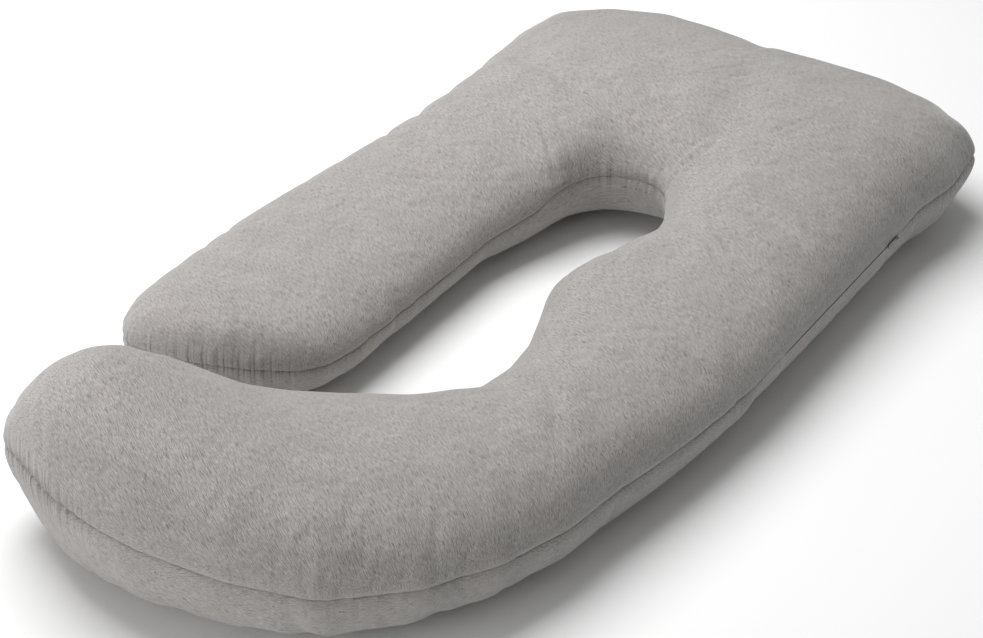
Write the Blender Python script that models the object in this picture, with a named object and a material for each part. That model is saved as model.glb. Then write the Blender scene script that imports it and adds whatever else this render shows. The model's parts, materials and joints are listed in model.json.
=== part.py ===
"""G-shaped nursing and maternity body pillow.

A jersey cover of two panels, closed by a seam and a zip in its outer side, holds a sewn inner bag
of polyester fibre. The pillow lies flat: X runs from the free arm to the long arm, Y from the hook
to the head bar and Z upwards. The origin is under the middle of the pillow, on the floor.
"""
import math

import bmesh
import bpy
import numpy as np
from mathutils import Matrix

# ---------------------------------------------------------------- driving dimensions, in metres
WIDTH = 0.792            # across both arms
LENGTH = 1.448           # from the hook to the head bar
THICKNESS = 0.256        # at the fattest place of the hook

# Cross lines of the pillow, from the free arm's end round the head bar to the hook's end:
# pivot x, pivot y, heading in degrees, reach to the inner edge, reach to the outer edge, thickness.
CROSS_LINES = (
    (0.270, 0.445, 196, -0.010, 0.177, 0.128),
    (0.270, 0.495, 188, -0.080, 0.185, 0.125),
    (0.270, 0.700, 180, -0.090, 0.218, 0.123),
    (0.320, 0.900, 180, -0.015, 0.270, 0.128),
    (0.360, 0.980, 168, 0.015, 0.310, 0.143),
    (0.365, 0.990, 146, 0.020, 0.378, 0.160),
    (0.370, 1.000, 129, 0.025, 0.523, 0.178),
    (0.370, 1.000, 110, 0.048, 0.536, 0.185),
    (0.370, 1.000, 90, 0.090, 0.503, 0.187),
    (0.370, 1.000, 68, 0.122, 0.570, 0.188),
    (0.370, 1.000, 53, 0.142, 0.605, 0.186),
    (0.370, 0.990, 36, 0.150, 0.475, 0.174),
    (0.370, 0.950, 15, 0.163, 0.433, 0.160),
    (0.370, 0.830, 0, 0.125, 0.446, 0.148),
    (0.370, 0.700, 0, 0.188, 0.452, 0.148),
    (0.370, 0.560, 0, 0.212, 0.450, 0.158),
    (0.360, 0.450, -12, 0.096, 0.460, 0.174),
    (0.340, 0.400, -32, 0.059, 0.435, 0.200),
    (0.330, 0.380, -58, 0.058, 0.345, 0.238),
    (0.310, 0.380, -80, 0.086, 0.302, 0.256),
    (0.275, 0.365, -86, 0.078, 0.270, 0.243),
    (0.238, 0.345, -94, 0.050, 0.269, 0.212),
)
ZIP_HIGH_LINE = 11       # the zipped side is straight between these two cross lines
ZIP_LOW_LINE = 13

# Section of the stuffed tube: rounded above the seam, flatter below, and flat where it rests.
SEAM_SHARE = 0.515       # seam height as a share of the local thickness
CROWN_POWER = 2.25
BASE_POWER = 2.6
BASE_PRESS = 1.06        # how far the round base is pressed past the floor
ARM_END_ROUND = 0.129    # length of the rounding at the free arm's end
ARM_END_POWER = 2.53
HOOK_END_ROUND = 0.179
HOOK_END_POWER = 2.17
END_BLUNT = 0.03         # both ends keep a short straight seam across them
END_DROP_POWER = 2.4

# Layers, from the outside in.
COVER_CLOTH = 0.0012
LINER_CLOTH = 0.0005
GAP = 0.0003             # air between two layers that lie on each other
SIDE_EASE = 0.0065       # room beside the inner bag for seam allowances and the zip
SEAM_THREAD = 0.0008     # diameter of the cover's seam thread
LINER_THREAD = 0.0006
EDGE_GAP = 0.00015       # half the gap between the two panels along the closed seam

# Zip, in its own axes: x out of the pillow from the cover's surface, y along the zip, z up.
ZIP_LENGTH = 0.330
ZIP_END_MARGIN = 0.020   # from the straight side's end to the tape's end
LIP_GAP = 0.0012         # half the slit between the cover's two lips
RAMP = 0.060             # length over which the slit opens and the side becomes straight
TAPE_WIDTH = 0.011
TAPE_CLOTH = 0.0005
SLOT = 0.0006            # half the slot between the two tapes and coils
COIL_RADIUS = 0.0007
STITCH_RADIUS = 0.00025
STITCH_HEIGHT = 0.008    # from the zip's middle to each row of stitches
SLIDER_LENGTH = 0.010
SLIDER_HALF_HEIGHT = 0.0036
SLIDER_WALL = 0.0010
SLIDER_BASE = 0.0012
NECK_LENGTH = 0.0044
NECK_THICKNESS = 0.0006
RING_RADIUS = 0.0020     # to the middle of the ring's wire
RING_WIRE = 0.0006
RING_STANDOFF = 0.0019   # ring centre outside the cover's surface
TAB_LENGTH = 0.028
TAB_WIDTH = 0.0050
TAB_THICKNESS = 0.0012
TAB_WINDOW = 0.0038
TAB_WINDOW_WIDTH = 0.0026
STOP_LENGTH = 0.0025
STOP_HEIGHT = 0.0020
END_ALLOWANCE = 0.0060   # tape beyond the stops
LABEL_LENGTH = 0.040
LABEL_HEIGHT = 0.013
LABEL_CLOTH = 0.0004
LABEL_OFFSET = 0.012     # from the zip's lower end to the label
LABEL_TUCK = 0.001       # from the seam down to the label's upper edge
LABEL_MARGIN = 0.004     # straight side beyond the label

# How finely the soft solids are divided.
ROWS_AT_ARM_END = 5
ROWS_AT_HOOK_END = 6
ROW_CLEARANCE = 0.022    # no row lies closer than this to the rows where the zip begins and ends
EDGE_ANGLE = 8           # degrees of the first strip beside the seam
STRIPS = 8               # strips between the two edge strips
ROD_SIDES = 8
STITCH_SIDES = 6
RING_SIDES = 20
SHARP_ANGLE = math.radians(60)
MERGE = 1e-6             # points closer than this are one point
OUTLINE_SAMPLES = 400    # places at which the outline is measured
HALVINGS = 40            # steps of the search for a place along the zipped side

# The fibre is divided at these cross lines.
FILLING_CUTS = (5, 11, 17)
FILLING_NAMES = ("filling_left_arm", "filling_head_bar", "filling_right_arm", "filling_hook")


# ---------------------------------------------------------------- outline of the pillow
def unit(vector):
    """The vector at length one."""
    return vector / np.linalg.norm(vector)


def cross_line_ends():
    """Outer x and y, inner x and y and thickness of each cross line, at the pillow's real size."""
    lines = np.array(CROSS_LINES)
    heading = np.radians(lines[:, 2])
    direction = np.column_stack((np.cos(heading), np.sin(heading)))
    outer = lines[:, :2] + direction * lines[:, 4:5]
    inner = lines[:, :2] + direction * lines[:, 3:4]
    return np.column_stack((outer, inner, lines[:, 5]))


def curve_through(knots, values, at):
    """A smooth curve through the values, read at the given places."""
    steps = np.diff(knots)[:, None]
    slopes = np.diff(values, axis=0) / steps
    tangents = np.empty_like(values)
    tangents[0] = slopes[0]
    tangents[-1] = slopes[-1]
    tangents[1:-1] = (slopes[1:] * steps[:-1] + slopes[:-1] * steps[1:]) / (steps[1:] + steps[:-1])
    k = np.clip(np.searchsorted(knots, at, side="right") - 1, 0, len(knots) - 2)
    step = (knots[k + 1] - knots[k])[:, None]
    t = (at - knots[k])[:, None] / step
    start = (2 * t ** 3 - 3 * t ** 2 + 1) * values[k] + (t ** 3 - 2 * t ** 2 + t) * step * tangents[k]
    finish = (3 * t ** 2 - 2 * t ** 3) * values[k + 1] + (t ** 3 - t ** 2) * step * tangents[k + 1]
    return start + finish


def knots_of(values):
    """Distance along the pillow, the mean of the outer and the inner edge."""
    outer = np.linalg.norm(np.diff(values[:, 0:2], axis=0), axis=1)
    inner = np.linalg.norm(np.diff(values[:, 2:4], axis=0), axis=1)
    return np.concatenate(([0.0], np.cumsum((outer + inner) / 2)))


def end_factor(u, total, power, blunt, rounding_a, rounding_b):
    """Share of the full section that is left at u, which falls off towards both ends."""
    from_a = np.clip(u / rounding_a, 0.0, 1.0)
    from_b = np.clip((total - u) / rounding_b, 0.0, 1.0)
    nearest = np.minimum(from_a, from_b)
    nearest = nearest + blunt * (1.0 - nearest)
    return np.maximum(0.0, 1.0 - (1.0 - nearest) ** power) ** (1.0 / power)


def half_widths(u, total, end_inset=0.0):
    """Width factor of the section at u, in a layer whose ends are drawn in."""
    arm = end_factor(u - end_inset, total - 2 * end_inset, ARM_END_POWER, END_BLUNT,
                     ARM_END_ROUND - end_inset, HOOK_END_ROUND - end_inset)
    hook = end_factor(u - end_inset, total - 2 * end_inset, HOOK_END_POWER, END_BLUNT,
                      ARM_END_ROUND - end_inset, HOOK_END_ROUND - end_inset)
    return np.where(u < total / 2, arm, hook)


def half_heights(u, total, end_inset=0.0):
    """Height factor of the section at u."""
    return end_factor(u - end_inset, total - 2 * end_inset, END_DROP_POWER, 0.0,
                      ARM_END_ROUND - end_inset, HOOK_END_ROUND - end_inset)


def fit_to_size(values):
    """Centre the outline on the origin and give it the driving width, length and thickness."""
    u = np.linspace(0.0, knots_of(values)[-1], OUTLINE_SAMPLES)
    drawn = curve_through(knots_of(values), values, u)
    factor = half_widths(u, u[-1])[:, None]
    middle = (drawn[:, 0:2] + drawn[:, 2:4]) / 2
    reach = (drawn[:, 0:2] - drawn[:, 2:4]) / 2 * factor
    edge = np.vstack((middle + reach, middle - reach))
    low = edge.min(axis=0)
    high = edge.max(axis=0)
    scale = np.array((WIDTH, LENGTH)) / (high - low)
    fitted = values.copy()
    fitted[:, 0:2] = (values[:, 0:2] - (low + high) / 2) * scale
    fitted[:, 2:4] = (values[:, 2:4] - (low + high) / 2) * scale
    fitted[:, 4] = values[:, 4] * THICKNESS / drawn[:, 4].max()
    return fitted


LINES = fit_to_size(cross_line_ends())
KNOTS = knots_of(LINES)
TOTAL = KNOTS[-1]

# The zipped side runs straight from ZIP_A to ZIP_B.
ZIP_A = LINES[ZIP_LOW_LINE, 0:2]
ZIP_B = LINES[ZIP_HIGH_LINE, 0:2]
ZIP_DIRECTION = unit(ZIP_B - ZIP_A)
SIDE_LENGTH = float(np.linalg.norm(ZIP_B - ZIP_A))
ZIP_HIGH_END = SIDE_LENGTH - ZIP_END_MARGIN
ZIP_LOW_END = ZIP_HIGH_END - ZIP_LENGTH
STRAIGHT_FROM = ZIP_LOW_END - LABEL_OFFSET - LABEL_LENGTH - LABEL_MARGIN
SIDE_THICKNESS = float(LINES[ZIP_LOW_LINE:ZIP_HIGH_LINE - 1:-1, 4].mean())
SEAM_HEIGHT = SIDE_THICKNESS * SEAM_SHARE


def side_distance(values):
    """How far along the zipped side each row's outer point lies, measured from ZIP_A."""
    return (values[:, 0:2] - ZIP_A) @ ZIP_DIRECTION


def smooth_step(x):
    """0 below 0, 1 above 1 and smooth between."""
    x = np.clip(x, 0.0, 1.0)
    return x * x * (3 - 2 * x)


def on_long_arm(u):
    """True for rows near the zipped side."""
    return (u > KNOTS[ZIP_HIGH_LINE - 1]) & (u < KNOTS[ZIP_LOW_LINE + 1])


def share_between(distance, low, high):
    """1 between low and high, falling to 0 over RAMP outside them."""
    return smooth_step((distance - low) / RAMP + 1) * smooth_step((high - distance) / RAMP + 1)


def rows_at(u):
    """The outline at u with the zipped side drawn straight, and the height of the seam there."""
    values = curve_through(KNOTS, LINES, u)
    distance = side_distance(values)
    share = np.where(on_long_arm(u), share_between(distance, STRAIGHT_FROM, ZIP_HIGH_END), 0.0)
    straight = ZIP_A + distance[:, None] * ZIP_DIRECTION
    values[:, 0:2] += (straight - values[:, 0:2]) * share[:, None]
    seam = values[:, 4] * SEAM_SHARE
    return values, seam + (SEAM_HEIGHT - seam) * share


def lips_at(u):
    """Half the gap between the two panels along the outer edge."""
    distance = side_distance(curve_through(KNOTS, LINES, u))
    share = np.where(on_long_arm(u), share_between(distance, ZIP_LOW_END, ZIP_HIGH_END), 0.0)
    return EDGE_GAP + (LIP_GAP - EDGE_GAP) * share


def place_on_side(distance):
    """The u whose outer point lies at a distance along the zipped side."""
    low = KNOTS[ZIP_HIGH_LINE - 1]
    high = KNOTS[ZIP_LOW_LINE + 1]
    for _ in range(HALVINGS):
        middle = (low + high) / 2
        if side_distance(curve_through(KNOTS, LINES, np.array((middle,))))[0] > distance:
            low = middle
        else:
            high = middle
    return (low + high) / 2


def middle_rows():
    """Rows at and halfway between the cross lines, and where the zip begins and ends."""
    numbers = np.arange(len(KNOTS))
    places = np.interp(np.arange(0, len(KNOTS) - 0.5, 0.5), numbers, KNOTS)
    zip_ends = (STRAIGHT_FROM - RAMP, STRAIGHT_FROM, ZIP_LOW_END - RAMP, ZIP_LOW_END,
                ZIP_HIGH_END, ZIP_HIGH_END + RAMP)
    first = ARM_END_ROUND
    last = TOTAL - HOOK_END_ROUND
    needed = np.array([first, last] + [place_on_side(distance) for distance in zip_ends])
    clear = [u for u in places if first < u < last and np.abs(needed - u).min() > ROW_CLEARANCE]
    return np.sort(np.concatenate((clear, needed)))


MIDDLE_ROWS = middle_rows()


def all_rows(end_inset):
    """Every row of a layer, closer together round its two ends."""
    angles_a = np.linspace(0.0, math.pi / 2, ROWS_AT_ARM_END, endpoint=False)
    angles_b = np.linspace(0.0, math.pi / 2, ROWS_AT_HOOK_END, endpoint=False)
    arm_end = end_inset + (ARM_END_ROUND - end_inset) * (1 - np.cos(angles_a))
    hook_end = TOTAL - end_inset - (HOOK_END_ROUND - end_inset) * (1 - np.cos(angles_b))
    return np.concatenate((arm_end, MIDDLE_ROWS, hook_end[::-1]))


ACROSS = np.radians(np.concatenate(([0.0], np.linspace(EDGE_ANGLE, 180 - EDGE_ANGLE, STRIPS + 1),
                                    [180.0])))

# A layer is how far it lies in from the cover's surface: at the sides, above and below, at the ends.
SKIN = (0.0, 0.0, 0.0)
COVER_INSIDE = (COVER_CLOTH, COVER_CLOTH, COVER_CLOTH)
LINER_OUTSIDE = (COVER_CLOTH + SIDE_EASE, COVER_CLOTH + GAP, COVER_CLOTH + SIDE_EASE)
LINER_INSIDE = tuple(inset + LINER_CLOTH for inset in LINER_OUTSIDE)
FIBRE = tuple(inset + GAP for inset in LINER_INSIDE)


def surface(layer, upper, u, lips):
    """Points of the upper or lower half of a layer: one row for each u, from outer to inner edge."""
    side_inset, face_inset, end_inset = layer
    values, seam = rows_at(u)
    middle = (values[:, 0:2] + values[:, 2:4]) / 2
    reach = (values[:, 0:2] - values[:, 2:4]) / 2
    length = np.linalg.norm(reach, axis=1, keepdims=True)
    wide = reach / length * (length - side_inset) * half_widths(u, TOTAL, end_inset)[:, None]
    tall = half_heights(u, TOTAL, end_inset)
    power = 2 / (CROWN_POWER if upper else BASE_POWER)
    t = np.sign(np.cos(ACROSS)) * np.abs(np.cos(ACROSS)) ** power
    g = np.abs(np.sin(ACROSS)) ** power
    g[0] = g[-1] = 0.0
    points = np.empty((len(u), len(ACROSS), 3))
    points[:, :, 0:2] = middle[:, None, :] + t[None, :, None] * wide[:, None, :]
    if upper:
        crown = (values[:, 4] - face_inset - seam) * tall
        points[:, :, 2] = seam[:, None] + crown[:, None] * g[None, :]
    else:
        depth = (seam - face_inset) * BASE_PRESS * tall
        points[:, :, 2] = np.maximum(seam[:, None] - depth[:, None] * g[None, :], face_inset)
    side = 1.0 if upper else -1.0
    outer_lip = lips_at(u) if lips else np.zeros(len(u))
    other_lip = EDGE_GAP if lips else 0.0
    points[:, 0, 2] = seam + side * outer_lip
    points[:, -1, 2] = seam + side * other_lip
    points[0, :, 2] = seam[0] + side * other_lip
    points[-1, :, 2] = seam[-1] + side * other_lip
    return points


# ---------------------------------------------------------------- scene, materials and helpers
for old in list(bpy.data.objects):
    bpy.data.objects.remove(old, do_unlink=True)

PARTS = bpy.data.collections.new("nursing_pillow")
CUTTERS = bpy.data.collections.new("cutters")
bpy.context.scene.collection.children.link(PARTS)
bpy.context.scene.collection.children.link(CUTTERS)


def material(name, colour, roughness, metallic=0.0):
    """A plain Principled material."""
    made = bpy.data.materials.new(name)
    made.use_nodes = True
    shader = made.node_tree.nodes["Principled BSDF"]
    shader.inputs["Base Color"].default_value = (*colour, 1.0)
    shader.inputs["Roughness"].default_value = roughness
    shader.inputs["Metallic"].default_value = metallic
    return made


HEATHER_JERSEY = material("heather_jersey", (0.42, 0.40, 0.385), 0.9)
GREY_THREAD = material("grey_thread", (0.36, 0.35, 0.34), 0.8)
LINER_COTTON = material("liner_cotton", (0.86, 0.85, 0.82), 0.85)
WHITE_THREAD = material("white_thread", (0.9, 0.9, 0.88), 0.8)
FIBRE_FILL = material("polyester_fibre", (0.93, 0.93, 0.92), 0.95)
TAPE_WEAVE = material("zip_tape_weave", (0.40, 0.39, 0.38), 0.8)
COIL_NYLON = material("zip_coil_nylon", (0.38, 0.37, 0.36), 0.4)
ZINC = material("painted_zinc", (0.45, 0.44, 0.43), 0.35, 0.6)
LABEL_SATIN = material("label_satin", (0.92, 0.92, 0.9), 0.5)


def place(name, mesh, finish, matrix=None):
    """Put a mesh in the pillow's collection as a named part."""
    mesh.materials.clear()
    mesh.materials.append(finish)
    part = bpy.data.objects.new(name, mesh)
    PARTS.objects.link(part)
    if matrix is not None:
        part.matrix_world = matrix
    return part


def grid_patch(bm, points):
    """A triangulated grid whose corners are the given points; returns its faces."""
    rows, columns = points.shape[:2]
    row_tag = bm.verts.layers.int.get("row") or bm.verts.layers.int.new("row")
    column_tag = bm.verts.layers.int.get("column") or bm.verts.layers.int.new("column")
    earlier = len(bm.faces)
    made = bmesh.ops.create_grid(bm, x_segments=rows - 1, y_segments=columns - 1, size=1.0)
    for vertex in made["verts"]:
        row = round((vertex.co.x + 1) / 2 * (rows - 1))
        column = round((vertex.co.y + 1) / 2 * (columns - 1))
        vertex[row_tag] = row
        vertex[column_tag] = column
        vertex.co = points[row, column]
    bm.faces.ensure_lookup_table()
    return bmesh.ops.triangulate(bm, faces=bm.faces[earlier:], quad_method="FIXED")["faces"]


def closed_mesh(name, bm):
    """The finished mesh of a closed body, with its faces pointing out."""
    bmesh.ops.recalc_face_normals(bm, faces=bm.faces[:])
    if bm.calc_volume(signed=True) < 0:
        bmesh.ops.reverse_faces(bm, faces=bm.faces[:])
    mesh = bpy.data.meshes.new(name)
    bm.to_mesh(mesh)
    bm.free()
    mesh.shade_smooth()
    mesh.set_sharp_from_angle(angle=SHARP_ANGLE)
    return mesh


def panel(name, outside, inside, upper, finish):
    """One sewn panel: a sheet between two layers, from the outer seam over to the inner seam."""
    bm = bmesh.new()
    faces = grid_patch(bm, surface(outside, upper, all_rows(outside[2]), True))
    row_tag = bm.verts.layers.int["row"]
    column_tag = bm.verts.layers.int["column"]
    doubled = bmesh.ops.extrude_face_region(bm, geom=faces, use_keep_orig=True)["geom"]
    points = surface(inside, upper, all_rows(inside[2]), True)
    for vertex in doubled:
        if isinstance(vertex, bmesh.types.BMVert):
            vertex.co = points[vertex[row_tag], vertex[column_tag]]
    bmesh.ops.triangulate(bm, faces=bm.faces[:], quad_method="FIXED")
    return place(name, closed_mesh(name, bm), finish)


def filling(name, u):
    """A closed body of fibre between the first and the last of the given rows."""
    bm = bmesh.new()
    grid_patch(bm, surface(FIBRE, True, u, False))
    grid_patch(bm, surface(FIBRE, False, u, False))
    bmesh.ops.remove_doubles(bm, verts=bm.verts[:], dist=MERGE)
    bmesh.ops.holes_fill(bm, edges=[edge for edge in bm.edges if edge.is_boundary], sides=0)
    bmesh.ops.triangulate(bm, faces=bm.faces[:])
    return place(name, closed_mesh(name, bm), FIBRE_FILL)


def seam_loop(layer, inset):
    """Points round the whole seam of a layer, moved in by the inset, from the outer edge's start."""
    u = all_rows(layer[2])
    edge = surface(layer, True, u, False)
    loop = np.vstack((edge[:, 0], edge[-1, 1:-1], edge[::-1, -1], edge[0, -2:0:-1]))
    step = (np.roll(loop, -1, axis=0) - loop)[:, :2]
    step /= np.linalg.norm(step, axis=1, keepdims=True)
    along = step + np.roll(step, 1, axis=0)
    along /= np.linalg.norm(along, axis=1, keepdims=True)
    mitre = 1 / np.sum(along * step, axis=1, keepdims=True)
    turned = np.column_stack((-along[:, 1], along[:, 0])) * mitre
    area = np.sum(loop[:, 0] * np.roll(loop[:, 1], -1) - np.roll(loop[:, 0], -1) * loop[:, 1])
    loop[:, :2] += turned * inset * math.copysign(1.0, area)
    return u, loop


def thread(name, points, diameter, finish, closed):
    """A round thread along the points."""
    curve = bpy.data.curves.new(name, "CURVE")
    curve.dimensions = "3D"
    spline = curve.splines.new("POLY")
    spline.points.add(len(points) - 1)
    for point, place_at in zip(spline.points, points):
        point.co = (*place_at, 1.0)
    spline.use_cyclic_u = closed
    curve.bevel_depth = diameter / 2
    curve.bevel_resolution = 1
    curve.use_fill_caps = not closed
    curve.materials.append(finish)
    made = bpy.data.objects.new(name, curve)
    PARTS.objects.link(made)
    return made


# ---------------------------------------------------------------- cover, inner bag and fibre
def build_cover():
    panel("cover_top_panel", SKIN, COVER_INSIDE, True, HEATHER_JERSEY)
    panel("cover_bottom_panel", SKIN, COVER_INSIDE, False, HEATHER_JERSEY)
    u, loop = seam_loop(COVER_INSIDE, GAP + SEAM_THREAD / 2)
    before = int(np.argmin(np.abs(u - place_on_side(ZIP_HIGH_END + RAMP))))
    after = int(np.argmin(np.abs(u - place_on_side(ZIP_LOW_END - RAMP))))
    thread("cover_seam_thread", np.vstack((loop[after:], loop[:before + 1])), SEAM_THREAD,
           GREY_THREAD, False)


def build_inner_bag():
    panel("liner_top_panel", LINER_OUTSIDE, LINER_INSIDE, True, LINER_COTTON)
    panel("liner_bottom_panel", LINER_OUTSIDE, LINER_INSIDE, False, LINER_COTTON)
    loop = seam_loop(LINER_OUTSIDE, -(GAP + LINER_THREAD / 2))[1]
    thread("liner_seam_thread", loop, LINER_THREAD, WHITE_THREAD, True)


def build_filling():
    u = all_rows(FIBRE[2])
    cuts = [int(np.argmin(np.abs(u - KNOTS[cut]))) for cut in FILLING_CUTS]
    firsts = [0] + cuts
    lasts = cuts + [len(u) - 1]
    for name, first, last in zip(FILLING_NAMES, firsts, lasts):
        rows = u[first:last + 1].copy()
        if first:
            rows[0] += GAP / 2
        if last < len(u) - 1:
            rows[-1] -= GAP / 2
        filling(name, rows)


# ---------------------------------------------------------------- zip
def zip_frame(distance, out=0.0):
    """Axes of the zip at a distance along the straight side: x out, y along, z up."""
    at = ZIP_A + ZIP_DIRECTION * distance
    out_of = np.array((ZIP_DIRECTION[1], -ZIP_DIRECTION[0]))
    at = at + out_of * out
    return Matrix(((out_of[0], ZIP_DIRECTION[0], 0, at[0]), (out_of[1], ZIP_DIRECTION[1], 0, at[1]),
                   (0, 0, 1, SEAM_HEIGHT), (0, 0, 0, 1)))


def lean(upper, z):
    """How far the cover has leant inwards at a height z above or below the seam."""
    power = 2 / (CROWN_POWER if upper else BASE_POWER)
    reach = (1 - math.cos(ACROSS[1]) ** power) * REACH_AT_ZIP
    half = SIDE_THICKNESS * (1 - SEAM_SHARE) if upper else SEAM_HEIGHT * BASE_PRESS
    return reach * z / (half * math.sin(ACROSS[1]) ** power)


ZIP_ROWS = rows_at(MIDDLE_ROWS)[0][on_long_arm(MIDDLE_ROWS)]
REACH_AT_ZIP = float(np.linalg.norm(ZIP_ROWS[:, 0:2] - ZIP_ROWS[:, 2:4], axis=1).max()) / 2
SLIDER_AT = ZIP_HIGH_END - END_ALLOWANCE - STOP_LENGTH - GAP - SLIDER_LENGTH / 2
COIL_FROM = ZIP_LOW_END + END_ALLOWANCE + STOP_LENGTH + GAP
COIL_TO = SLIDER_AT + SLIDER_LENGTH / 2
TAPE_FRONT = -(COVER_CLOTH + GAP)
TAPE_BACK = TAPE_FRONT - TAPE_CLOTH
COIL_FRONT = TAPE_BACK - GAP - lean(True, SLOT + 2 * COIL_RADIUS)
COIL_MIDDLE = COIL_FRONT - COIL_RADIUS
COIL_BACK = COIL_MIDDLE - COIL_RADIUS


def box_mesh(name, low, high):
    """A box between two corners."""
    bm = bmesh.new()
    size = [b - a for a, b in zip(low, high)]
    centre = [(a + b) / 2 for a, b in zip(low, high)]
    bmesh.ops.create_cube(bm, size=1.0, matrix=Matrix.Translation(centre) @ Matrix.Diagonal((*size, 1)))
    mesh = bpy.data.meshes.new(name)
    bm.to_mesh(mesh)
    bm.free()
    return mesh


def leaning_strip(name, side, low_z, high_z, front, cloth, length, finish, matrix):
    """A flat strip that leans back with the cover; side is 1 above the zip and -1 below it."""
    mesh = box_mesh(name, (front - cloth, 0.0, low_z), (front, length, high_z))
    for vertex in mesh.vertices:
        vertex.co.x -= lean(side > 0, vertex.co.z)
        vertex.co.z *= side
    if side < 0:
        mesh.flip_normals()
    return place(name, mesh, finish, matrix)


def rod_mesh(name, radius, length, sides, at):
    """A rod along y that starts at the given point."""
    bm = bmesh.new()
    turn = Matrix.Translation((at[0], at[1] + length / 2, at[2])) @ Matrix.Rotation(math.pi / 2, 4, "X")
    bmesh.ops.create_cone(bm, cap_ends=True, segments=sides, radius1=radius, radius2=radius,
                          depth=length, matrix=turn)
    mesh = bpy.data.meshes.new(name)
    bm.to_mesh(mesh)
    bm.free()
    mesh.shade_smooth()
    mesh.set_sharp_from_angle(angle=SHARP_ANGLE)
    return mesh


def build_tapes():
    base = zip_frame(ZIP_LOW_END)
    coil_length = COIL_TO - COIL_FROM
    for side, word in ((1, "upper"), (-1, "lower")):
        leaning_strip(f"zip_tape_{word}", side, SLOT, SLOT + TAPE_WIDTH, TAPE_FRONT, TAPE_CLOTH,
                      ZIP_LENGTH, TAPE_WEAVE, base)
        middle = (COIL_MIDDLE, COIL_FROM - ZIP_LOW_END, side * (SLOT + COIL_RADIUS))
        place(f"zip_coil_{word}", rod_mesh("coil", COIL_RADIUS, coil_length, ROD_SIDES, middle),
              COIL_NYLON, base)
        bead = (TAPE_BACK - GAP - STITCH_RADIUS - lean(side > 0, STITCH_HEIGHT + STITCH_RADIUS),
                END_ALLOWANCE, side * STITCH_HEIGHT)
        stitched = ZIP_LENGTH - 2 * END_ALLOWANCE
        place(f"zip_stitching_{word}", rod_mesh("stitching", STITCH_RADIUS, stitched, STITCH_SIDES,
                                                bead), GREY_THREAD, base)


def build_stops():
    for side, word in ((1, "upper"), (-1, "lower")):
        heights = sorted((side * SLOT, side * (SLOT + STOP_HEIGHT)))
        mesh = box_mesh("stop", (COIL_BACK, GAP, heights[0]), (COIL_FRONT, GAP + STOP_LENGTH, heights[1]))
        place(f"zip_top_stop_{word}", mesh, ZINC, zip_frame(COIL_TO))
    reach = SLOT + STOP_HEIGHT
    mesh = box_mesh("stop", (COIL_BACK, -GAP - STOP_LENGTH, -reach), (COIL_FRONT, -GAP, reach))
    place("zip_bottom_stop", mesh, ZINC, zip_frame(COIL_FROM))


def helper(name, mesh, matrix):
    """A solid that only cuts or joins, kept apart from the parts."""
    made = bpy.data.objects.new(name, mesh)
    CUTTERS.objects.link(made)
    made.matrix_world = matrix
    made.hide_render = True
    made.display_type = "WIRE"
    return made


def combine(part, other, operation):
    """Cut or join with a Boolean."""
    boolean = part.modifiers.new(operation.lower(), "BOOLEAN")
    boolean.operation = operation
    boolean.solver = "EXACT"
    boolean.object = other


def build_slider():
    """A channel behind the coils, a neck through the slot and a ring outside for the tab."""
    frame = zip_frame(SLIDER_AT)
    half = SLIDER_LENGTH / 2
    wall_front = TAPE_BACK - GAP - lean(True, SLIDER_HALF_HEIGHT)
    channel_floor = COIL_BACK - GAP
    base_back = channel_floor - SLIDER_BASE
    inner_height = SLIDER_HALF_HEIGHT - SLIDER_WALL
    body = place("zip_slider", box_mesh("slider", (base_back, -half, -SLIDER_HALF_HEIGHT),
                                        (wall_front, half, SLIDER_HALF_HEIGHT)), ZINC, frame)
    channel = box_mesh("channel", (channel_floor, -2 * half, -inner_height), (0.0, 2 * half, inner_height))
    combine(body, helper("slider_channel", channel, frame), "DIFFERENCE")
    neck = box_mesh("neck", (channel_floor - SLIDER_BASE / 2, -NECK_LENGTH / 2, -NECK_THICKNESS / 2),
                    (RING_STANDOFF - RING_RADIUS, NECK_LENGTH / 2, NECK_THICKNESS / 2))
    combine(body, helper("slider_neck", neck, frame), "UNION")
    bpy.ops.mesh.primitive_torus_add(major_segments=RING_SIDES, minor_segments=ROD_SIDES,
                                     major_radius=RING_RADIUS, minor_radius=RING_WIRE)
    ring = bpy.context.object
    for owner in list(ring.users_collection):
        owner.objects.unlink(ring)
    ring.name = "slider_ring"
    CUTTERS.objects.link(ring)
    ring.matrix_world = zip_frame(SLIDER_AT, RING_STANDOFF)
    ring.hide_render = True
    ring.display_type = "WIRE"
    combine(body, ring, "UNION")


def build_pull_tab():
    """The tab turns on its own cross bar, which passes through the slider's ring."""
    frame = zip_frame(SLIDER_AT, RING_STANDOFF)
    half = TAB_THICKNESS / 2
    tab = place("zip_pull_tab", box_mesh("tab", (-half, -TAB_LENGTH, -TAB_WIDTH / 2),
                                         (half, half, TAB_WIDTH / 2)), ZINC, frame)
    window = box_mesh("window", (-2 * half, -half - TAB_WINDOW, -TAB_WINDOW_WIDTH / 2),
                      (2 * half, -half, TAB_WINDOW_WIDTH / 2))
    combine(tab, helper("tab_window", window, frame), "DIFFERENCE")


def build_label():
    base = zip_frame(ZIP_LOW_END - LABEL_OFFSET - LABEL_LENGTH)
    leaning_strip("care_label", -1, LABEL_TUCK, LABEL_TUCK + LABEL_HEIGHT, TAPE_FRONT, LABEL_CLOTH,
                  LABEL_LENGTH, LABEL_SATIN, base)


build_cover()
build_inner_bag()
build_filling()
build_tapes()
build_stops()
build_slider()
build_pull_tab()
build_label()
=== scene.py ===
"""Looks of the G-shaped nursing pillow: jersey cover, seam, zip, inner bag and fibre."""
import json
import math

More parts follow.
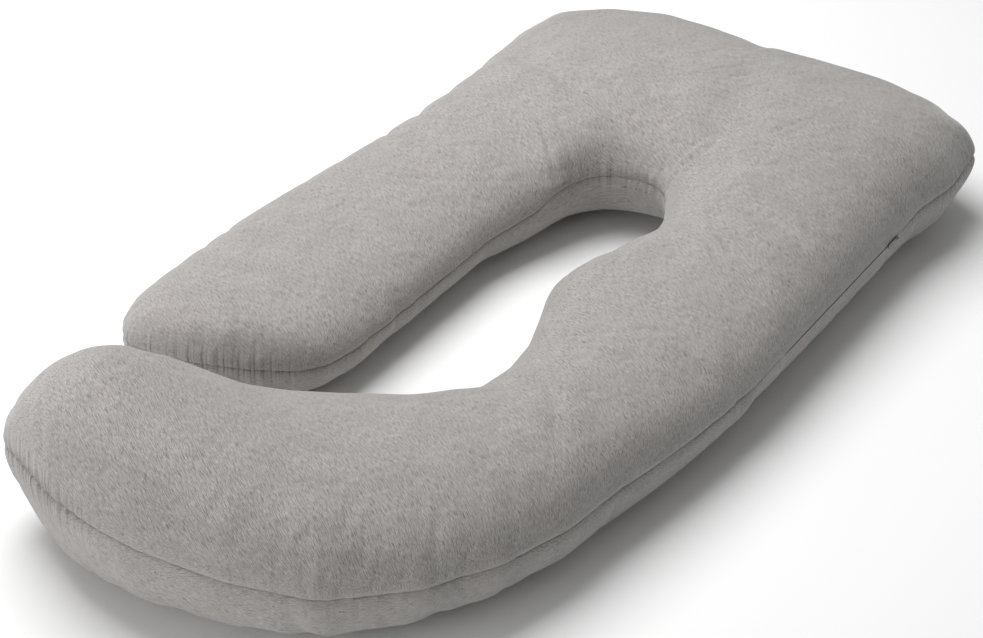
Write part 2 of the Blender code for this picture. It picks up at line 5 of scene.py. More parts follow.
import bmesh
import bpy
import numpy as np
from bpy.props import FloatProperty, FloatVectorProperty, PointerProperty
from mathutils import Matrix, Vector
from mathutils.bvhtree import BVHTree
from mathutils.kdtree import KDTree


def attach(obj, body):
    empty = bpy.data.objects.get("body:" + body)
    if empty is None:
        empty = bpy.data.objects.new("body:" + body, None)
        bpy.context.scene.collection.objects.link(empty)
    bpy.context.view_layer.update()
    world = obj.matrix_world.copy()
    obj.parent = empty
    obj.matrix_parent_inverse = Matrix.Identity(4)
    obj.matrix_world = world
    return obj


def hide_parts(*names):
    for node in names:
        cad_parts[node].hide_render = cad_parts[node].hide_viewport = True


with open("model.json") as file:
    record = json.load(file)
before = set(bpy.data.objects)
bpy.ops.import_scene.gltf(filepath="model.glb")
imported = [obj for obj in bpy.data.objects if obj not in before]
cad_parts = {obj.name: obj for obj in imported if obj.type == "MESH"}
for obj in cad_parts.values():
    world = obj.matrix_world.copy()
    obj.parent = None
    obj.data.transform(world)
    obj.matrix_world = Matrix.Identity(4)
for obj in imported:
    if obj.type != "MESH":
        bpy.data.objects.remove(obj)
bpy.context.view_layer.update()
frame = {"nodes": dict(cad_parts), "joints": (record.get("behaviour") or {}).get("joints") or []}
NODES = frame["nodes"]

bl_info = {
    "name": "Nursing pillow",
    "version": (1, 0, 0),
    "blender": (4, 5, 0),
    "location": "3D View > Sidebar > Pillow",
    "description": "Builds a stuffed jersey body pillow with its seam and zip",
    "category": "Object",
}

PRESS_FRAMES = 20        # length of the simulation that presses the cloth out
ZIP_LOW = -0.316         # the slit's two ends, measured along the zip from the slider
ZIP_HIGH = 0.014
LABEL_LOW = -0.372       # the care label's far end, measured the same way
ZIP_FADE = 0.06          # over this length the cover goes back to its own shape
ZIP_ABOVE = 0.016        # height above and below the zip where the cover keeps its exact place
ZIP_ACROSS = 0.02        # and how far in and out from it
SLIT_LOW_RAMP = 0.024    # over these lengths the slit opens at its two ends
SLIT_HIGH_RAMP = 0.015
LIP = 0.0011             # each lip of the open slit stands this far from the middle
LIP_REACH = 0.004
SIDE_ROUND = 0.09        # radius of the pillow's rounded sides, for laying the yarn over them
INNER_MESH = 0.012       # length of a face of the inner bag and the fibre
STITCH_HALF = 0.0017     # half the length of a seam stitch
BAG_INSET = 0.0105       # from the cover's surface to the inner bag
FIBRE_INSET = 0.010      # how far the fibre draws in inside the bag
FILLINGS = ("filling_left_arm", "filling_head_bar", "filling_right_arm", "filling_hook")
JOINT = next(joint for joint in frame["joints"] if joint["name"] == "zip_slide")
ZIP_ALONG = Vector(JOINT["axis"])
ZIP_OUT = Vector((ZIP_ALONG.y, -ZIP_ALONG.x, 0.0))
PIVOT = Vector(next(j for j in frame["joints"] if j["name"] == "pull_tab_hinge")["pos_m"])

# Folds pressed into the cover: start, bend and end in plan, then width and depth, in metres.
FOLDS = (
    # long creases on the head bar near its far edge
    ((0.004, 0.590), (-0.035, 0.578), (-0.080, 0.556), 0.0036, 0.0026),
    ((0.003, 0.578), (-0.027, 0.545), (-0.060, 0.506), 0.0036, 0.0028),
    ((0.012, 0.568), (-0.004, 0.525), (-0.036, 0.487), 0.0036, 0.0024),
    ((0.030, 0.556), (0.016, 0.510), (-0.008, 0.465), 0.0036, 0.0018),
    # soft valley from the far edge to the inner corner
    ((0.007, 0.575), (0.066, 0.388), (0.154, 0.183), 0.0260, 0.0060),
    # small creases on its two sides
    ((0.050, 0.300), (0.066, 0.338), (0.080, 0.380), 0.0040, 0.0019),
    ((0.034, 0.306), (0.050, 0.345), (0.060, 0.385), 0.0036, 0.0016),
    ((0.130, 0.400), (0.146, 0.440), (0.158, 0.482), 0.0040, 0.0016),
    # dimples where the long arm leaves the inner corner
    ((0.199, 0.168), (0.221, 0.160), (0.254, 0.131), 0.0055, 0.0036),
    ((0.210, 0.186), (0.230, 0.174), (0.252, 0.150), 0.0050, 0.0026),
    # ripples beside the bump on the long arm's inner edge
    ((0.170, -0.115), (0.234, -0.090), (0.303, -0.003), 0.0070, 0.0022),
    ((0.190, -0.150), (0.260, -0.130), (0.340, -0.060), 0.0070, 0.0020),
    ((0.210, -0.178), (0.270, -0.168), (0.330, -0.140), 0.0060, 0.0016),
    # creases down the free arm
    ((-0.177, 0.285), (-0.128, 0.252), (-0.072, 0.212), 0.0042, 0.0034),
    ((-0.072, 0.206), (-0.050, 0.178), (-0.022, 0.150), 0.0045, 0.0026),
    ((-0.150, 0.300), (-0.105, 0.266), (-0.060, 0.240), 0.0036, 0.0018),
    ((-0.123, 0.062), (-0.080, 0.054), (-0.036, 0.040), 0.0040, 0.0028),
    # short parallel creases at the hook's end
    ((-0.192, -0.651), (-0.225, -0.620), (-0.258, -0.573), 0.0040, 0.0030),
    ((-0.178, -0.642), (-0.212, -0.610), (-0.245, -0.566), 0.0036, 0.0024),
    ((-0.165, -0.630), (-0.200, -0.598), (-0.232, -0.556), 0.0036, 0.0018),
    ((-0.060, -0.712), (-0.080, -0.692), (-0.099, -0.674), 0.0040, 0.0022),
)

# Where the cloth is gathered along the seam: place in plan, reach and strength.
GATHERS = (
    (-0.031, -0.715, 0.050, 1.0),
    (-0.080, -0.703, 0.050, 1.0),
    (-0.130, -0.690, 0.060, 0.6),
    (-0.215, -0.620, 0.080, 0.8),
    (-0.330, -0.390, 0.080, 0.7),
    (-0.179, -0.394, 0.080, 1.0),
    (-0.081, -0.352, 0.080, 1.0),
    (0.000, 0.320, 0.090, 0.7),
    (0.350, 0.630, 0.080, 0.8),
    (-0.350, 0.600, 0.090, 0.7),
)


# ---------------------------------------------------------------- sizes and colours
class PillowShape(bpy.types.PropertyGroup):
    """Sizes of the stuffed cover."""

    voxel: FloatProperty(name="Mesh size", description="Length of a face before it is divided",
                         default=0.006, min=0.003, max=0.02, unit="LENGTH")
    pressure: FloatProperty(name="Pressure", description="How hard the fibre presses the cloth out",
                            default=4.0, min=0.0)
    slack: FloatProperty(name="Slack", description="Share by which the cloth is larger than the fibre",
                         default=0.03, min=0.0, max=0.2)
    fold_share: FloatProperty(name="Fold share", description="Share of the simulated folds that stays",
                              default=0.55, min=0.0, max=2.0)
    fold_limit: FloatProperty(name="Fold limit", description="Furthest that a simulated fold may move",
                              default=0.010, min=0.0, unit="LENGTH")
    crease_share: FloatProperty(name="Crease share", description="Depth of the pressed-in creases",
                                default=0.65, min=0.0, max=2.0)
    seam_depth: FloatProperty(name="Seam depth", description="How far the seam pulls the cloth in",
                              default=0.0032, min=0.0, unit="LENGTH")
    seam_width: FloatProperty(name="Seam width", description="Half width of the valley at the seam",
                              default=0.0045, min=0.001, unit="LENGTH")
    gather_depth: FloatProperty(name="Gather depth", description="Height of the gathers at the seam",
                                default=0.0012, min=0.0, unit="LENGTH")
    gather_pitch: FloatProperty(name="Gather pitch", description="Distance from gather to gather",
                                default=0.0068, min=0.002, unit="LENGTH")
    gather_reach: FloatProperty(name="Gather reach", description="How far gathers run from the seam",
                                default=0.020, min=0.002, unit="LENGTH")
    rim: FloatProperty(name="Turned edge", description="Cloth turned in along the seam",
                       default=0.006, min=0.001, unit="LENGTH")
    fill: FloatProperty(name="Fill", description="How tightly the pillow is stuffed",
                        default=0.85, min=0.0, max=1.0)


class PillowCloth(bpy.types.PropertyGroup):
    """Colours and grain of the jersey."""

    mid: FloatVectorProperty(name="Yarn", description="Colour of most of the yarn", subtype="COLOR",
                             size=3, min=0.0, max=1.0, default=(0.315, 0.298, 0.284))
    dark: FloatVectorProperty(name="Dark yarn", description="Colour of the darker flecks",
                              subtype="COLOR", size=3, min=0.0, max=1.0, default=(0.150, 0.138, 0.129))
    pale: FloatVectorProperty(name="Pale yarn", description="Colour of the paler flecks",
                              subtype="COLOR", size=3, min=0.0, max=1.0, default=(0.530, 0.512, 0.498))
    fleck_length: FloatProperty(name="Fleck length", description="Length of a fleck along the yarn",
                                default=0.0130, min=0.001, unit="LENGTH")
    fleck_width: FloatProperty(name="Fleck width", description="Width of a fleck across the yarn",
                               default=0.0012, min=0.0002, unit="LENGTH")
    top_turn: FloatProperty(name="Top grain", description="Direction of the top panel's yarn",
                            default=math.radians(-22), subtype="ANGLE")
    bottom_turn: FloatProperty(name="Bottom grain", description="Direction of the lower panel's yarn",
                               default=math.radians(38), subtype="ANGLE")
    stitch: FloatProperty(name="Knit pitch", description="Distance between two columns of stitches",
                          default=0.0011, min=0.0002, unit="LENGTH")
    thread: FloatVectorProperty(name="Thread", description="Colour of the sewing thread",
                                subtype="COLOR", size=3, min=0.0, max=1.0, default=(0.30, 0.285, 0.272))


class PillowZip(bpy.types.PropertyGroup):
    """Sizes of the zip's coils and of the seam's stitches."""

    coil_pitch: FloatProperty(name="Coil pitch", description="Distance from loop to loop",
                              default=0.0014, min=0.0005, unit="LENGTH")
    coil_wire: FloatProperty(name="Coil wire", description="Radius of the coil's wire",
                             default=0.00028, min=0.0001, unit="LENGTH")
    stitch_pitch: FloatProperty(name="Stitch pitch", description="Distance from stitch to stitch",
                                default=0.0035, min=0.001, unit="LENGTH")
    stitch_radius: FloatProperty(name="Stitch radius", description="Radius of the seam's thread",
                                 default=0.00035, min=0.0001, unit="LENGTH")
    nylon: FloatVectorProperty(name="Coil colour", description="Colour of the nylon coil",
                               subtype="COLOR", size=3, min=0.0, max=1.0, default=(0.25, 0.24, 0.232))
    metal: FloatVectorProperty(name="Slider colour", description="Colour of the painted slider",
                               subtype="COLOR", size=3, min=0.0, max=1.0, default=(0.20, 0.195, 0.19))


class PillowStage(bpy.types.PropertyGroup):
    """Floor, light and camera."""

    lens: FloatProperty(name="Lens", description="Focal length for a 36 mm wide picture",
                        default=91.56, min=10.0)
    distance: FloatProperty(name="Distance", description="From the camera to the middle of the pillow",
                            default=3.154, min=0.5, unit="LENGTH")
    turn: FloatProperty(name="Turn", description="How far the camera stands round to the right",
                        default=math.radians(40.104), subtype="ANGLE")
    rise: FloatProperty(name="Rise", description="How steeply the camera looks down",
                        default=math.radians(33.253), subtype="ANGLE")
    aim: FloatVectorProperty(name="Aim", description="The point in the middle of the picture",
                             size=3, default=(0.0533, -0.0772, 0.09), subtype="TRANSLATION")
    sky: FloatProperty(name="Room light", description="Strength of the light from all round",
                       default=0.26, min=0.0)
    key: FloatProperty(name="Key light", description="Power of the large soft light overhead",
                       default=104.0, min=0.0)
    floor_size: FloatProperty(name="Floor size", description="Half the width of the floor",
                              default=8.0, min=1.0, unit="LENGTH")


# ---------------------------------------------------------------- mesh helpers
def read(data, key, width=3):
    """Values of a mesh's points as rows of numbers."""
    values = np.empty(len(data) * width)
    data.foreach_get(key, values)
    return values.reshape(-1, width)


def move_points(mesh, points):
    """Put a mesh's points in new places."""
    mesh.vertices.foreach_set("co", points.ravel())
    mesh.update()


def edge_ends(mesh):
    """The two point numbers of every edge."""
    ends = np.empty(len(mesh.edges) * 2, int)
    mesh.edges.foreach_get("vertices", ends)
    return ends.reshape(-1, 2)


def averaged(values, ends, rounds):
    """Values spread over a mesh by taking the mean with the neighbours again and again."""
    count = len(values)
    neighbours = np.bincount(ends.ravel(), minlength=count)[:, None]
    for _ in range(rounds):
        total = np.column_stack([
            np.bincount(ends[:, 0], column[ends[:, 1]], count)
            + np.bincount(ends[:, 1], column[ends[:, 0]], count) for column in values.T])
        values = (values + total / neighbours) / 2
    return values


def new_object(name, mesh):
    """A mesh as an object of the scene, at the origin."""
    made = bpy.data.objects.new(name, mesh)
    bpy.context.scene.collection.objects.link(made)
    return made


def with_modifiers(mesh, *modifiers):
    """A mesh with the given modifiers applied: pairs of a type and its settings."""
    holder = new_object("holder", mesh)
    for kind, settings in modifiers:
        modifier = holder.modifiers.new(kind.lower(), kind)
        for key, value in settings.items():
            setattr(modifier, key, value)
    made = bpy.data.meshes.new_from_object(
        holder.evaluated_get(bpy.context.evaluated_depsgraph_get()))
    bpy.data.objects.remove(holder, do_unlink=True)
    return made


def smooth_step(x):
    """0 below 0, 1 above 1 and smooth between."""
    x = np.clip(x, 0.0, 1.0)
    return x * x * (3 - 2 * x)


def tree_of(*names):
    """A search tree of the faces of some of the fixed model's nodes."""
    corners = []
    faces = []
    for name in names:
        mesh = NODES[name].data
        start = len(corners)
        corners.extend(vertex.co.copy() for vertex in mesh.vertices)
        faces.extend([start + k for k in face.vertices] for face in mesh.polygons)
    return BVHTree.FromPolygons(corners, faces)


def zip_share(points):
    """1 beside the zip and its label, where the cover keeps its exact place, and 0 far away."""
    away = points - np.array(PIVOT)
    along = away @ np.array(ZIP_ALONG)
    share = smooth_step((along - LABEL_LOW) / ZIP_FADE + 1)
    share *= smooth_step((ZIP_HIGH - along) / ZIP_FADE + 1)
    share *= smooth_step(2 - np.abs(away[:, 2]) / ZIP_ABOVE)
    return share * smooth_step(2 - np.abs(away @ np.array(ZIP_OUT)) / ZIP_ACROSS)


def slit_share(points):
    """How far the slit stands open: 0 at its ends and beyond, 1 between them."""
    along = (points - np.array(PIVOT)) @ np.array(ZIP_ALONG)
    opened = smooth_step((along - ZIP_LOW) / SLIT_LOW_RAMP + 1)
    opened *= smooth_step((ZIP_HIGH - along) / SLIT_HIGH_RAMP)
    return opened * (zip_share(points) > 0.3)


# ---------------------------------------------------------------- the stuffed body
def outer_skin():
    """The outer faces of the two cover panels, as one mesh."""
    bag = tree_of("liner_top_panel", "liner_bottom_panel")
    bm = bmesh.new()
    for name in ("cover_top_panel", "cover_bottom_panel"):
        bm.from_mesh(NODES[name].data)
    bmesh.ops.remove_doubles(bm, verts=bm.verts[:], dist=0.00001)
    inner = [face for face in bm.faces
             if face.normal.dot(bag.find_nearest(face.calc_center_median())[1]) < 0.3]
    bmesh.ops.delete(bm, geom=inner, context="FACES")
    mesh = bpy.data.meshes.new("outer_skin")
    bm.to_mesh(mesh)
    bm.free()
    return mesh


def smooth_body(voxel):
    """An evenly divided, smooth body that fills the cover as the fixed model has it."""
    rounds = int(60 * (0.006 / voxel) ** 2)
    mesh = with_modifiers(outer_skin(), ("REMESH", {"mode": "VOXEL", "voxel_size": voxel}),
                          ("SMOOTH", {"factor": 0.5, "iterations": rounds}))
    ends = edge_ends(mesh)
    skin = tree_of("cover_top_panel", "cover_bottom_panel")
    outside = 0.005
    for _ in range(2):
        points = read(mesh.vertices, "co")
        normals = read(mesh.vertex_normals, "vector")
        gap = np.zeros((len(points), 1))
        for number, (point, normal) in enumerate(zip(points, normals)):
            start = Vector(point) + Vector(normal) * outside
            distance = skin.ray_cast(start, -Vector(normal), 3 * outside)[3]
            if distance is not None:
                gap[number, 0] = outside - distance
        spread = averaged(gap, ends, int(25 * (0.006 / voxel) ** 2))
        beside = zip_share(points)[:, None]
        move_points(mesh, points + normals * (spread + (gap - spread) * beside))
    return mesh


def pressed_out(mesh, shape):
    """How far each point of the cover moves in and out in folds when fibre presses it."""
    points = read(mesh.vertices, "co")
    start = points - read(mesh.vertex_normals, "vector") * 0.004
    trial = mesh.copy()
    move_points(trial, start)
    holder = new_object("pressed", trial)
    modifier = holder.modifiers.new("cloth", "CLOTH")
    cloth = modifier.settings
    cloth.use_pressure = True
    cloth.uniform_pressure_force = shape.pressure
    cloth.effector_weights.gravity = 0
    cloth.quality = 4
    cloth.shrink_min = -shape.slack
    cloth.bending_stiffness = 0.05
    modifier.collision_settings.use_collision = False
    modifier.point_cache.frame_start = 1
    modifier.point_cache.frame_end = PRESS_FRAMES
    for step in range(1, PRESS_FRAMES + 1):
        bpy.context.scene.frame_set(step)
    pressed = bpy.data.meshes.new_from_object(
        holder.evaluated_get(bpy.context.evaluated_depsgraph_get()))
    moved = read(pressed.vertices, "co") - start
    bpy.data.objects.remove(holder, do_unlink=True)
    folds = moved - averaged(moved, edge_ends(mesh), 100)
    length = np.linalg.norm(folds, axis=1, keepdims=True)
    limited = folds * np.minimum(1.0, shape.fold_limit / np.maximum(length, 1e-9))
    return limited * shape.fold_share * (1 - zip_share(points)[:, None])


def seam_rise(points):
    """How far each point lies above the seam, and below it as a negative number."""
    upper = tree_of("cover_top_panel")
    lower = tree_of("cover_bottom_panel")
    rise = np.empty(len(points))
    for number, point in enumerate(points):
        from_top, _, _, top_gap = upper.find_nearest(Vector(point))
        from_low, _, _, low_gap = lower.find_nearest(Vector(point))
        nearest = from_low if low_gap > top_gap else from_top
        rise[number] = point[2] - nearest.z
    return rise


def cut_at_seam(mesh, rise):
    """The mesh's two halves, above and below the seam."""
    bm = bmesh.new()
    bm.from_mesh(mesh)
    level = bm.verts.layers.float.new("rise")
    for vert, value in zip(bm.verts, rise):
        vert[level] = value
    for edge in bm.edges:
        low, high = edge.verts
        if low[level] * high[level] < 0:
            share = abs(low[level]) / (abs(low[level]) + abs(high[level]))
            near = low if share < 0.3 else high if share > 0.7 else None
            if near is not None:
                near.co = low.co.lerp(high.co, share)
                near[level] = 0.0
    on_seam = [vert for vert in bm.verts if vert[level] == 0.0]
    for edge in bm.edges[:]:
        low, high = edge.verts
        if low[level] * high[level] < 0:
            share = abs(low[level]) / (abs(low[level]) + abs(high[level]))
            made = bmesh.utils.edge_split(edge, low, share)[1]
            made[level] = 0.0
            on_seam.append(made)
    bmesh.ops.connect_verts(bm, verts=on_seam, check_degenerate=True)
    halves = []
    for side in (1, -1):
        half = bm.copy()
        layer = half.verts.layers.float["rise"]
        away = [face for face in half.faces
                if sum(vert[layer] for vert in face.verts) * side < 0]
        bmesh.ops.delete(half, geom=away, context="FACES")
        made = bpy.data.meshes.new("half")
        half.to_mesh(made)
        half.free()
        halves.append(made)
    bm.free()
    return halves


def fold_depth(points, share_kept):
    """How deep the pressed-in folds are at each point."""
    depth = np.zeros(len(points))
    plan = points[:, :2]
    for start, bend, end, width, deep in FOLDS:
        start, bend, end = (np.array(place) for place in (start, bend, end))
        share = np.linspace(0.0, 1.0, 81)[:, None]
        line = start * (1 - share) ** 2 + 2 * bend * share * (1 - share) + end * share ** 2
        near = np.abs(plan - line.mean(axis=0)).max(axis=1) < np.ptp(line, axis=0).max() + 5 * width
        gaps = np.linalg.norm(plan[near][:, None, :] - line[None, :, :], axis=2)
        nearest = gaps.argmin(axis=1)
        gap = gaps.min(axis=1)
        fade = np.sin(np.pi * np.clip(nearest / 80, 0.02, 0.98)) ** 0.7
        valley = np.exp(-(gap / width) ** 2) - 0.38 * np.exp(-((gap - 2.2 * width) / width) ** 2)
        depth[near] += deep * fade * valley
    return depth * share_kept


def run_along(mesh, points):
    """How far along the seam each point lies, and its distance from the seam."""
    bm = bmesh.new()
    bm.from_mesh(mesh)
    here = next(vert for vert in bm.verts if vert.is_boundary)
    loop = []
    seen = set()
    while here is not None:
        seen.add(here)
        loop.append(here.co.copy())
        here = next((edge.other_vert(here) for edge in here.link_edges
                     if edge.is_boundary and edge.other_vert(here) not in seen), None)
    bm.free()
    steps = [after - before for before, after in zip(loop, loop[1:] + loop[:1])]
    starts = np.concatenate(([0.0], np.cumsum([step.length for step in steps])))
    tree = KDTree(len(loop))
    for number, place in enumerate(loop):
        tree.insert(place, number)
    tree.balance()
    runs = np.empty(len(points))
    gaps = np.empty(len(points))
    for row, point in enumerate(points):
        place, number, gaps[row] = tree.find(point)
        way = (steps[number] + steps[number - 1]).normalized()
        runs[row] = starts[number] + (Vector(point) - place).dot(way)
    return runs, gaps


def gather_strength(points, gap, shape):
    """How strongly the cloth is puckered into the seam at each point."""
    power = np.full(len(points), 0.10)
    for x, y, reach, strength in GATHERS:
        power += strength * np.exp(-((points[:, 0] - x) ** 2 + (points[:, 1] - y) ** 2) / reach ** 2)
    return power * np.exp(-(gap / shape.gather_reach) ** 1.5)


def finished_half(mesh, upper, shape):
    """One panel of the cover, divided once, with its folds, gathers and turned-in edge."""
    mesh = with_modifiers(mesh, ("SUBSURF", {"levels": 1, "render_levels": 1}))
    points = read(mesh.vertices, "co")
    normals = read(mesh.vertex_normals, "vector")
    run, gap = run_along(mesh, points)
    gathers = gather_strength(points, gap, shape)
    beside = zip_share(points)
    inwards = shape.seam_depth * np.exp(-(gap / shape.seam_width) ** 1.3) * (1 - beside)
    wave = np.sin(math.tau * run / (2.4 * shape.gather_pitch)) + np.sin(math.tau * run / 0.021 + 1)
    lift = 0.5 * shape.gather_depth * wave * gathers * (1 - beside)
    if upper:
        lift -= fold_depth(points, shape.crease_share) * smooth_step(normals[:, 2] * 4 + 0.5)
    outward = normals.copy()
    outward[:, 2] *= np.clip(gap / 0.01, 0.0, 1.0)
    outward /= np.linalg.norm(outward, axis=1, keepdims=True)
    points += outward * (lift * np.clip(gap / 0.002, 0.15, 1.0) - inwards)[:, None]
    points[:, 2] = np.maximum(points[:, 2], 0.0)
    points[:, 2] += (LIP if upper else -LIP) * slit_share(points) * np.exp(-gap / LIP_REACH)
    move_points(mesh, points)
    layer = mesh.attributes.new("pucker", "FLOAT_VECTOR", "POINT")
    layer.data.foreach_set("vector", np.column_stack(
        (run / shape.gather_pitch, gathers * (1 - beside), gap)).astype(np.float32).ravel())
    bm = bmesh.new()
    bm.from_mesh(mesh)
    rim = [edge for edge in bm.edges if edge.is_boundary]
    bm.normal_update()
    seam = bm.verts.layers.float_vector.new("seam")
    seam_out = bm.verts.layers.float_vector.new("seam_out")
    outwards = {}
    for vert in {vert for edge in rim for vert in edge.verts}:
        outwards[tuple(vert.co)] = Vector((vert.normal.x, vert.normal.y, 0.0)).normalized()
        vert[seam] = vert.co
        vert[seam_out] = outwards[tuple(vert.co)]
    turned = bmesh.ops.extrude_edge_only(bm, edges=rim)["geom"]
    for vert in turned:
        if isinstance(vert, bmesh.types.BMVert):
            vert[seam_out] = Vector()
            share = float(zip_share(np.array([vert.co]))[0])
            vert.co -= outwards[tuple(vert.co)] * (shape.rim * (1 - share) + LIP * share)
            vert.co.z += 0.0006 * (1 - share) * (1 if upper else -1)
    bmesh.ops.recalc_face_normals(bm, faces=bm.faces[:])
    bm.to_mesh(mesh)
    bm.free()
    mesh.shade_smooth()
    return mesh


def add_grain(mesh, turn):
    """Flat cloth coordinates on every point, so that the yarn runs down over the sides."""
    points = read(mesh.vertices, "co")
    normals = averaged(read(mesh.vertex_normals, "vector"), edge_ends(mesh), 60)
    normals /= np.linalg.norm(normals, axis=1, keepdims=True)
    flat = np.linalg.norm(normals[:, :2], axis=1)
    lean = np.arctan2(flat, np.abs(normals[:, 2]))
    reach = SIDE_ROUND * (lean - np.sin(lean)) / np.maximum(flat, 1e-6)
    plan = points[:, :2] + normals[:, :2] * reach[:, None]
    turned = np.column_stack((plan[:, 0] * math.cos(turn) + plan[:, 1] * math.sin(turn),
                              -plan[:, 0] * math.sin(turn) + plan[:, 1] * math.cos(turn),
                              np.zeros(len(plan))))
    layer = mesh.attributes.new("grain", "FLOAT_VECTOR", "POINT")
    layer.data.foreach_set("vector", turned.astype(np.float32).ravel())


def seam_line(mesh):
    """The seam's points, each with the level direction out of the pillow."""
    rows = [place.vector.copy() for place in mesh.attributes["seam"].data]
    outs = [place.vector.copy() for place in mesh.attributes["seam_out"].data]
    return [(place, out) for place, out in zip(rows, outs) if out.length > 0.5]


def seam_places(seam, pitch):
    """Places a pitch apart along the seam."""
    left = {number: pair for number, pair in enumerate(seam)}
    tree = KDTree(len(seam))
    for number, (place, _) in left.items():
        tree.insert(place, number)
    tree.balance()
    taken = set()
    places = []
    for number, (place, out) in left.items():
        if number in taken:
            continue
        places.append((place, out))
        taken.update(found[1] for found in tree.find_range(place, pitch * 0.85))
    return places


def coil_axis(name):
    """The two ends of a coil's middle line and its radius."""
    points = read(NODES[name].data.vertices, "co")
    along = points @ np.array(ZIP_ALONG)
    first = points[along < along.min() + 0.001]
    last = points[along > along.max() - 0.001]
    middle = (first.min(axis=0) + first.max(axis=0)) / 2
    reach = np.ptp(first[:, 2]) / 2
    return Vector(middle), Vector((last.min(axis=0) + last.max(axis=0)) / 2), reach


def threads(name, lines, radius):
    """Round threads along several lines, as one mesh."""
    curve = bpy.data.curves.new(name, "CURVE")
    curve.dimensions = "3D"
    for line in lines:
        spline = curve.splines.new("POLY")
        spline.points.add(len(line) - 1)
        for point, place in zip(spline.points, line):
            point.co = (*place, 1.0)
    curve.bevel_depth = radius
    curve.bevel_resolution = 1
    curve.use_fill_caps = True
    drawn = bpy.data.objects.new("drawn", curve)
    bpy.context.scene.collection.objects.link(drawn)
    mesh = bpy.data.meshes.new_from_object(
        drawn.evaluated_get(bpy.context.evaluated_depsgraph_get()))
    bpy.data.objects.remove(drawn, do_unlink=True)
    mesh.shade_smooth()
    mesh.materials.clear()
    return new_object(name, mesh)


# ---------------------------------------------------------------- shader helpers
def node(tree, kind, values=None, **settings):
    """A shader node with its settings and input values."""
    made = tree.nodes.new(kind)
    for key, value in settings.items():
        setattr(made, key, value)
    for key, value in (values or {}).items():
        made.inputs[key].default_value = value
    return made


def join(tree, *pairs):
    """Link outputs to inputs, given in turns."""
    for output, target in zip(pairs[::2], pairs[1::2]):
        tree.links.new(output, target)


def new_group(name, inputs, outputs):
    """A shader node group with named sockets; returns it with its input and output nodes."""
    group = bpy.data.node_groups.new(name, "ShaderNodeTree")
    for label, kind, default in inputs:
        socket = group.interface.new_socket(name=label, in_out="INPUT", socket_type=kind)
        if default is not None:
            socket.default_value = default
    for label, kind in outputs:
        group.interface.new_socket(name=label, in_out="OUTPUT", socket_type=kind)
    return group, group.nodes.new("NodeGroupInput"), group.nodes.new("NodeGroupOutput")


